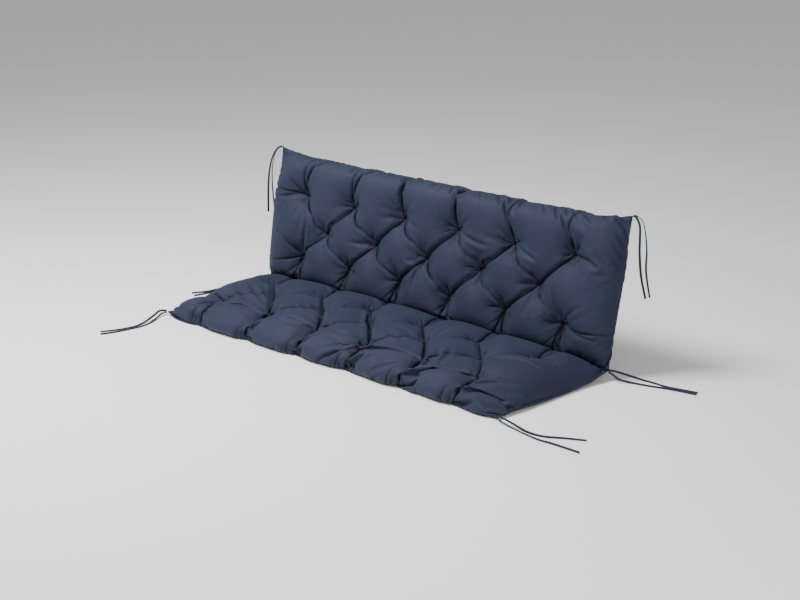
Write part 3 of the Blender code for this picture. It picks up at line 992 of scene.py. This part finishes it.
    def add_pleats(self, draws):
        """Fine pleats that fan from the corners."""
        for hand, end, count, length, depth in PLEATS:
            corner = np.array([self.grid.across[hand], self.grid.along[end]])
            inner = np.array([1 if hand == 0 else -1, 1 if end == 0 else -1])
            for k in range(count):
                off = draws.uniform(-PLEAT_ANGLES, PLEAT_ANGLES)
                angle = math.pi / 2 * (k + 0.5 + off) / count
                way = inner * np.array([math.cos(angle), math.sin(angle)])
                far = corner + way * length * draws.uniform(*PLEAT_LENGTHS)
                bow = draws.uniform(-PLEAT_BOW, PLEAT_BOW)
                drawn = depth * draws.uniform(*PLEAT_DEPTHS)
                near = corner + way * PLEAT_START
                self.press(near, far, drawn, bow, PUCKER_REACH, PUCKER_PINCH, FADING, PUCKER_PAINTED_SHADE)


def thicken_corners(grid, cover):
    """Keeps each corner as thick as the hems that are folded together in it."""
    for column in (0, -1):
        for row, upward in ((0, np.array([0.0, 0.0, 1.0])), (-1, BACK_OUT)):
            off = np.hypot(grid.across[:, None] - grid.across[column], grid.along - grid.along[row])
            lift = HEM_THICKNESS / 2 * np.exp(-((off / HEM_REACH) ** 2))
            cover[:, 0] += upward[:, None, None] * lift
            cover[:, 1] -= upward[:, None, None] * lift


def creased(grid, cover):
    """The cover with its creases, and the shade painted on each point, [side, column, row]."""
    cover = cover.astype(np.float64)
    painted_shades = []
    for side in (0, 1):
        draws = np.random.default_rng(PRESS_SEED + side)
        sheet = Sheet(grid, cover, side)
        sheet.add_wrinkles(draws)
        sheet.add_puckers(draws)
        sheet.add_pleats(draws)
        sheet.add_front_folds(draws)
        sheet.add_creases()
        sheet.paint_tuft_shade()
        painted_shades.append(sheet.painted_shade)
    thicken_corners(grid, cover)
    for rim in RIMS + ((slice(None), grid.fold),):
        both = (slice(None), slice(None)) + rim
        cover[both] = cover[both].mean(1, keepdims=True)
    np.maximum(cover[2], 0.0, out=cover[2])
    return cover, np.array(painted_shades)


def simulated_cover():
    """The cover's grid and its settled points, simulated on finer and finer grids."""
    cover = start_shape()
    fillings = [Filling("seat"), Filling("back")]
    levels = LEVELS
    for number, (finer, steps, noise) in enumerate(levels):
        if number:
            cover = np.ascontiguousarray(doubled(doubled(cover, 2), 3))
        grid = Grid(finer)
        cover = settle(grid, cover, fillings, PRESSURE[number], steps, noise, number)
    return grid, cover


# ---------------------------------------------------------------- meshes
# The way round a cell of the coarser side: its corners and the middles of its edges.
RING = ((0, 0), (0, 1), (0, 2), (1, 2), (2, 2), (2, 1), (2, 0), (1, 0))


def add_object(name, data):
    """A new object with that data, linked into the scene."""
    thing = bpy.data.objects.new(name, data)
    bpy.context.scene.collection.objects.link(thing)
    return thing


def smooth_mesh(name, vertices, faces):
    """A smoothly shaded mesh of those points and faces."""
    mesh = bpy.data.meshes.new(name)
    mesh.from_pydata(vertices, [], faces)
    mesh.polygons.foreach_set("use_smooth", [True] * len(mesh.polygons))
    return mesh


def cut_cells(cover, rows, panel):
    """Whether each cell of the sitting side is cut from corner 0, 0, along the diagonal further in."""
    height = panel_places(cover[:, 0][..., rows])[panel][1]
    return height[:-1, :-1] + height[1:, 1:] < height[1:, :-1] + height[:-1, 1:]


def panel_mesh(name, grid, cover, painted_shades, panel):
    """One closed panel: the sitting side on the full grid, the other on every second line."""
    rows = slice(0, grid.fold + 1) if panel == 0 else slice(grid.fold, grid.rows + 1)
    part, painted_shade = cover[..., rows], painted_shades[..., rows]
    columns, count = part.shape[2:]
    front = np.arange(columns * count).reshape(columns, count)
    rear = front.copy()
    inner = (slice(2, -2, 2), slice(2, -2, 2))
    rear[inner] = columns * count + np.arange(rear[inner].size).reshape(rear[inner].shape)

    def both(values):
        """Values of the mesh's points: the sitting side's, then the other side's inner ones."""
        return np.concatenate([values[0].ravel(), values[1][inner].ravel()])

    def kept(column, row):
        """Whether the other side has this point: on every second line, and all along its rim."""
        even = column % 2 == 0 and row % 2 == 0
        return even or column in (0, columns - 1) or row in (0, count - 1)

    vertices = np.stack([both(part[axis]) for axis in range(3)], axis=1)
    flat = np.broadcast_to(grid.across[:, None], (2, columns, count))
    flat = np.stack([both(flat), both(np.broadcast_to(grid.along[rows], (2, columns, count)))], axis=1)
    rising = cut_cells(cover, rows, panel)[..., None]
    a, b, c, d = front[:-1, :-1], front[1:, :-1], front[1:, 1:], front[:-1, 1:]
    first = np.where(rising, np.stack([a, b, c], -1), np.stack([a, b, d], -1))
    second = np.where(rising, np.stack([a, c, d], -1), np.stack([b, c, d], -1))
    faces = first.reshape(-1, 3).tolist() + second.reshape(-1, 3).tolist()
    for i in range(0, columns - 1, 2):
        for j in range(0, count - 1, 2):
            ring = [(i + across, j + along) for across, along in RING]
            faces.append([int(rear[place]) for place in ring if kept(*place)])
    mesh = smooth_mesh(name, vertices.tolist(), faces)
    corners = np.empty(len(mesh.loops), np.int32)
    mesh.loops.foreach_get("vertex_index", corners)
    mesh.uv_layers.new(name="flat").data.foreach_set("uv", flat[corners].ravel().astype(np.float32))
    # The painted shade is stored in the "crease" attribute, which darkens the colour.
    shade_attribute = mesh.attributes.new("crease", "FLOAT", "POINT")
    shade_attribute.data.foreach_set("value", both(painted_shade).astype(np.float32))
    mesh.update()
    return mesh


# ---------------------------------------------------------------- camera
def make_camera():
    """The photo's camera, from the place and axes at the top."""
    camera = add_object("camera", bpy.data.cameras.new("camera"))
    axes = Matrix((CAMERA_RIGHT, CAMERA_UP, CAMERA_BACK)).transposed()
    camera.matrix_world = Matrix.Translation(CAMERA_PLACE) @ axes.to_4x4()
    camera.data.lens = CAMERA_LENS
    camera.data.sensor_width = SENSOR_WIDTH
    bpy.context.scene.camera = camera


# ---------------------------------------------------------------- ties
TIE_WIDTH = 0.0076
TIE_THICKNESS = 0.0026
TIE_SIDES = 8
TIE_STEP = 0.008
CURVE_STEPS = 24
# How far a strand sways about itself, how fast along its length, and how much that differs.
TIE_SWAY = 0.45
TIE_SWAY_RUN = 4.0
TIE_SWAY_SPREAD = 7
# How far the strands that show their edge are turned from facing the front.
TIE_TURNS = {
    "tie_top_left_inner": 1.15, "tie_top_right_outer": 1.15, "tie_front_left_inner": 0.9,
    "tie_front_left_outer": 0.7, "tie_fold_right_inner": 0.5, "tie_front_right_outer": 0.4,
}
TIE_TURN = 0.1
# The lowest a strand lies, how far a pair's two strands lie apart from their middle, and their gap to
# the cover.
TIE_LOWEST = 0.0003
TIE_PARTING = 0.0029
TIE_GAP = 0.0006
# The route of each strand after the corner it is sewn to: x, y from the fold line, z.
TIE_ROUTES = {
    "tie_top_left_outer": [
        (-0.777, 0.086, 0.496), (-0.792, 0.075, 0.483), (-0.803, 0.062, 0.450),
        (-0.810, 0.054, 0.400), (-0.813, 0.050, 0.335), (-0.814, 0.049, 0.255),
    ],
    "tie_top_left_inner": [
        (-0.775, 0.078, 0.495), (-0.786, 0.068, 0.478), (-0.793, 0.059, 0.445),
        (-0.797, 0.056, 0.400), (-0.797, 0.057, 0.335), (-0.791, 0.061, 0.248),
    ],
    "tie_top_right_outer": [
        (0.776, 0.090, 0.496), (0.789, 0.100, 0.480), (0.795, 0.108, 0.440),
        (0.799, 0.112, 0.390), (0.799, 0.113, 0.325), (0.811, 0.120, 0.245),
    ],
    "tie_top_right_inner": [
        (0.777, 0.081, 0.495), (0.786, 0.089, 0.470), (0.783, 0.097, 0.425),
        (0.782, 0.100, 0.380), (0.788, 0.104, 0.310), (0.802, 0.111, 0.242),
    ],
    "tie_fold_left_outer": [
        (-0.784, -0.003, 0.030), (-0.812, -0.012, 0.024), (-0.836, -0.035, 0.012),
        (-0.846, -0.090, 0.0028), (-0.845, -0.160, 0.0028), (-0.850, -0.220, 0.0028),
        (-0.874, -0.272, 0.0028),
    ],
    "tie_fold_left_inner": [
        (-0.778, -0.012, 0.024), (-0.800, -0.028, 0.016), (-0.822, -0.055, 0.006),
        (-0.834, -0.100, 0.0028), (-0.831, -0.160, 0.0028), (-0.831, -0.220, 0.0028),
        (-0.842, -0.286, 0.0028),
    ],
    "tie_fold_right_outer": [
        (0.776, 0.014, 0.029), (0.798, 0.038, 0.018), (0.830, 0.062, 0.006),
        (0.880, 0.068, 0.0028), (0.930, 0.066, 0.0028), (1.020, 0.085, 0.0028),
    ],
    "tie_fold_right_inner": [
        (0.776, -0.002, 0.023), (0.794, 0.002, 0.012), (0.825, 0.022, 0.004),
        (0.880, 0.036, 0.0028), (0.940, 0.054, 0.0028), (1.026, 0.070, 0.0028),
    ],
    "tie_front_left_outer": [
        (-0.750, -0.512, 0.017), (-0.735, -0.548, 0.013), (-0.716, -0.600, 0.006),
        (-0.708, -0.645, 0.0028), (-0.713, -0.690, 0.0028), (-0.725, -0.728, 0.0028),
        (-0.743, -0.766, 0.0028),
    ],
    "tie_front_left_inner": [
        (-0.739, -0.512, 0.010), (-0.722, -0.548, 0.006), (-0.700, -0.596, 0.003),
        (-0.692, -0.640, 0.0028), (-0.696, -0.690, 0.0028), (-0.704, -0.735, 0.0028),
        (-0.720, -0.783, 0.0028),
    ],
    "tie_front_right_outer": [
        (0.755, -0.497, 0.017), (0.800, -0.500, 0.011), (0.860, -0.508, 0.004),
        (0.910, -0.502, 0.0028), (0.958, -0.474, 0.0028), (1.014, -0.444, 0.0028),
    ],
    "tie_front_right_inner": [
        (0.755, -0.504, 0.009), (0.800, -0.510, 0.004), (0.860, -0.522, 0.0028),
        (0.915, -0.530, 0.0028), (0.965, -0.527, 0.0028), (1.054, -0.528, 0.0028),
    ],
}


def smooth_points(points, step):
    """Evenly spaced points on a smooth curve through the given ones."""
    ends = [points[0] * 2 - points[1]] + points + [points[-1] * 2 - points[-2]]
    dense = []
    for before, start, end, after in zip(ends, ends[1:], ends[2:], ends[3:]):
        for i in range(CURVE_STEPS):
            t = i / CURVE_STEPS
            bend = (before - start * 3 + end * 3 - after) * -(t**3)
            curve = (before * 2 - start * 5 + end * 4 - after) * t**2
            dense.append((start * 2 + (end - before) * t + curve + bend) / 2)
    dense.append(points[-1])
    walked = [0.0]
    for near, far in zip(dense, dense[1:]):
        walked.append(walked[-1] + (far - near).length)
    count = round(walked[-1] / step)
    even_points = []
    for i in range(count + 1):
        target = walked[-1] * i / count
        k = next((k for k, length in enumerate(walked) if length >= target - 1e-9), len(walked) - 1)
        k = max(k, 1)
        share = (target - walked[k - 1]) / (walked[k] - walked[k - 1])
        even_points.append(dense[k - 1].lerp(dense[k], share))
    return even_points, walked[-1]


def tape_mesh(name, points, across, turn):
    """A narrow flat tape along the points, swaying a little about itself."""
    vertices, faces = [], []
    for k, point in enumerate(points):
        ahead = (points[min(k + 1, len(points) - 1)] - points[max(k - 1, 0)]).normalized()
        level = (across - ahead * across.dot(ahead)).normalized()
        angle = turn + TIE_SWAY * math.sin(TIE_SWAY_SPREAD * turn + TIE_SWAY_RUN * k / len(points))
        wide = Matrix.Rotation(angle, 3, ahead) @ level
        thin = ahead.cross(wide)
        for i in range(TIE_SIDES):
            a = 2 * math.pi * i / TIE_SIDES
            place = point + wide * (TIE_WIDTH / 2 * math.cos(a)) + thin * (TIE_THICKNESS / 2 * math.sin(a))
            place.z = max(place.z, TIE_LOWEST)
            vertices.append(place)
        if k:
            for i in range(TIE_SIDES):
                j = (i + 1) % TIE_SIDES
                low = (k - 1) * TIE_SIDES
                faces.append((low + i, low + j, low + j + TIE_SIDES, low + i + TIE_SIDES))
    faces.append(tuple(reversed(range(TIE_SIDES))))
    faces.append(tuple(len(vertices) - TIE_SIDES + i for i in range(TIE_SIDES)))
    return smooth_mesh(name, [tuple(v) for v in vertices], faces)


def make_ties(material):
    """Two strands leave each corner of the cover and each end of the fold, side by side."""
    corners = {
        "top": Vector(on_back(HALF_WIDTH_TOP, BACK_LENGTH, 0.0)),
        "fold": Vector((HALF_WIDTH_FOLD, FOLD_Y, FOLD_Z)),
        "front": Vector(on_seat(HALF_WIDTH_FRONT, SEAT_LENGTH, SEAM_Z)),
    }
    outward = {"top": Vector((1, 0, 0)), "fold": Vector((1, 0, 0)), "front": Vector((1, -0.6, 0))}
    beside = {"top": Vector((0, 1, 0)), "fold": Vector((0, 0, 1)), "front": Vector((0, 0, 1))}
    for name, route in TIE_ROUTES.items():
        _, place, hand, strand = name.split("_")
        mirror = Vector((1 if hand == "right" else -1, 1, 1))
        start = corners[place] + outward[place].normalized() * TIE_GAP
        start += beside[place] * (TIE_PARTING if strand == "outer" else -TIE_PARTING)
        points = [start * mirror] + [Vector(p) + Vector((0, FOLD_Y, 0)) for p in route]
        path, length = smooth_points(points, TIE_STEP)
        across = Vector(CAMERA_RIGHT if place == "top" else CAMERA_UP)
        turn = TIE_TURNS.get(name, TIE_TURN)
        tape = add_object(name + "_tape", tape_mesh(name, path, across, turn))
        tape.data.materials.append(material)
        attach(tape, "root")
        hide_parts(name)


# ---------------------------------------------------------------- materials
COVER_COLOUR = (0.0225, 0.0278, 0.0535)
TAPE_COLOUR = (0.0220, 0.0275, 0.0480)
THREAD_PITCH = 0.0008
# How much the painted shade in creases and round tufts darkens the colour at most.
PAINTED_SHADE_DARKENING = 0.90


def new_material(name):
    """A new node material, with its nodes and links."""
    material = bpy.data.materials.new(name)
    material.use_nodes = True
    return material, material.node_tree.nodes, material.node_tree.links


def add_noise(nodes, links, vector, scale, detail, low, high):
    """Noise stretched to run from low to high, as a node output."""
    noise = nodes.new("ShaderNodeTexNoise")
    noise.inputs["Scale"].default_value = scale
    noise.inputs["Detail"].default_value = detail
    links.new(vector, noise.inputs["Vector"])
    span = nodes.new("ShaderNodeMapRange")
    span.inputs["From Min"].default_value = 0.3
    span.inputs["From Max"].default_value = 0.7
    span.inputs["To Min"].default_value = low
    span.inputs["To Max"].default_value = high
    links.new(noise.outputs["Fac"], span.inputs["Value"])
    return span.outputs["Result"]


def add_math(nodes, links, operation, first, second):
    """The result of one operation on two numbers or node outputs."""
    node = nodes.new("ShaderNodeMath")
    node.operation = operation
    for socket, value in zip(node.inputs, (first, second)):
        if isinstance(value, float):
            socket.default_value = value
        else:
            links.new(value, socket)
    return node.outputs["Value"]


def add_weave(nodes, links, vector, pitch):
    """The height of a plain weave of that thread pitch."""
    threads = []
    for direction in ("X", "Y"):
        wave = nodes.new("ShaderNodeTexWave")
        wave.bands_direction = direction
        wave.inputs["Scale"].default_value = math.pi / 10 / pitch
        wave.inputs["Distortion"].default_value = 0.6
        wave.inputs["Detail"].default_value = 1.0
        links.new(vector, wave.inputs["Vector"])
        threads.append(wave.outputs["Fac"])
    return add_math(nodes, links, "MAXIMUM", *threads)


def add_bump(nodes, links, height, strength, distance, normal=None):
    """The normal that a height gives, on top of another one where that is given."""
    bump = nodes.new("ShaderNodeBump")
    bump.inputs["Strength"].default_value = strength
    bump.inputs["Distance"].default_value = distance
    links.new(height, bump.inputs["Height"])
    if normal:
        links.new(normal, bump.inputs["Normal"])
    return bump.outputs["Normal"]


def add_colour(nodes, links, colour, factor, socket):
    """A colour times a factor, linked to a socket."""
    scaled = nodes.new("ShaderNodeVectorMath")
    scaled.operation = "SCALE"
    scaled.inputs[0].default_value = colour
    links.new(factor, scaled.inputs["Scale"])
    links.new(scaled.outputs["Vector"], socket)


def cover_material():
    """Tightly woven navy polyester, with shade painted darker in its creases and round its tufts."""
    material, nodes, links = new_material("cover")
    shader = nodes["Principled BSDF"]
    flat = nodes.new("ShaderNodeUVMap")
    flat.uv_map = "flat"
    place = nodes.new("ShaderNodeTexCoord").outputs["Object"]
    weave = add_weave(nodes, links, flat.outputs["UV"], THREAD_PITCH)
    slubs = add_noise(nodes, links, flat.outputs["UV"], 700.0, 2.0, 0.94, 1.06)
    clouds = add_noise(nodes, links, place, 7.0, 3.0, 0.92, 1.08)
    light = add_math(nodes, links, "MULTIPLY", slubs, clouds)
    threads = add_math(nodes, links, "ADD", 0.9, add_math(nodes, links, "MULTIPLY", weave, 0.12))
    light = add_math(nodes, links, "MULTIPLY", light, threads)
    # Painted shade: the "crease" attribute darkens the colour in creases and round tufts.
    crease = nodes.new("ShaderNodeAttribute")
    crease.attribute_name = "crease"
    shadow = add_math(nodes, links, "MULTIPLY", crease.outputs["Fac"], PAINTED_SHADE_DARKENING)
    light = add_math(nodes, links, "MULTIPLY", light, add_math(nodes, links, "SUBTRACT", 1.0, shadow))
    add_colour(nodes, links, COVER_COLOUR, light, shader.inputs["Base Color"])
    links.new(add_noise(nodes, links, place, 20.0, 2.0, 0.62, 0.76), shader.inputs["Roughness"])
    shader.inputs["Specular IOR Level"].default_value = 0.16
    shader.inputs["Sheen Weight"].default_value = 0.06
    shader.inputs["Sheen Roughness"].default_value = 0.35
    shader.inputs["Sheen Tint"].default_value = (0.55, 0.70, 1.0, 1.0)
    ripples = add_noise(nodes, links, flat.outputs["UV"], 42.0, 3.0, 0.0, 1.0)
    normal = add_bump(nodes, links, ripples, 0.22, 0.004)
    links.new(add_bump(nodes, links, weave, 0.25, 0.0003, normal), shader.inputs["Normal"])
    return material


def tape_material():
    """Narrow woven tape in the cover's navy."""
    material, nodes, links = new_material("tape")
    shader = nodes["Principled BSDF"]
    place = nodes.new("ShaderNodeTexCoord").outputs["Object"]
    weave = add_weave(nodes, links, place, THREAD_PITCH)
    speckle = add_noise(nodes, links, place, 160.0, 2.0, 0.85, 1.15)
    add_colour(nodes, links, TAPE_COLOUR, speckle, shader.inputs["Base Color"])
    shader.inputs["Roughness"].default_value = 0.75
    shader.inputs["Specular IOR Level"].default_value = 0.2
    links.new(add_bump(nodes, links, weave, 0.3, 0.0003), shader.inputs["Normal"])
    return material


# ---------------------------------------------------------------- cushion, floor and lights
FLOOR_HALF = 12
KEY = {"place": (-0.85, -1.45, 3.0), "target": (0, -0.1, 0.1), "size": 1.4, "power": 190}
FILL = {"place": (2.8, -1.4, 1.4), "target": (0.6, -0.2, 0.1), "size": 1.4, "power": 22}
STUDIO_STRENGTH = 0.44


def make_cushion(material):
    """The cover's two panels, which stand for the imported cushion."""
    grid, cover = simulated_cover()
    cover, painted_shades = creased(grid, cover)
    for panel, name in enumerate(("seat_cover", "back_cover")):
        cushion = add_object(name, panel_mesh(name, grid, cover, painted_shades, panel))
        cushion.data.materials.append(material)
        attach(cushion, "root")
        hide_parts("cushion")


def make_floor():
    """A plain pale floor for the picture, which is no piece of the object."""
    mesh = bpy.data.meshes.new("floor")
    far = FLOOR_HALF
    mesh.from_pydata([(-far, -far, 0), (far, -far, 0), (far, far, 0), (-far, far, 0)], [], [(0, 1, 2, 3)])
    floor = add_object("floor", mesh)
    material, nodes, _ = new_material("floor")
    nodes["Principled BSDF"].inputs["Base Color"].default_value = (0.95, 0.95, 0.95, 1)
    nodes["Principled BSDF"].inputs["Roughness"].default_value = 0.8
    mesh.materials.append(material)


def area_light(name, place, target, size, power):
    """A square light at a place, turned to its target."""
    light = add_object(name, bpy.data.lights.new(name, "AREA"))
    light.data.size = size
    light.data.energy = power
    light.location = place
    light.rotation_euler = (Vector(target) - Vector(place)).to_track_quat("-Z", "Y").to_euler()


def make_lights():
    """A soft key from the upper left, a faint fill from the right, and an even white surround."""
    area_light("key", **KEY)
    area_light("fill", **FILL)
    world = bpy.data.worlds.new("studio")
    world.use_nodes = True
    world.node_tree.nodes["Background"].inputs["Color"].default_value = (1, 1, 1, 1)
    world.node_tree.nodes["Background"].inputs["Strength"].default_value = STUDIO_STRENGTH
    bpy.context.scene.world = world


make_camera()
make_ties(tape_material())
make_cushion(cover_material())
make_floor()
make_lights()
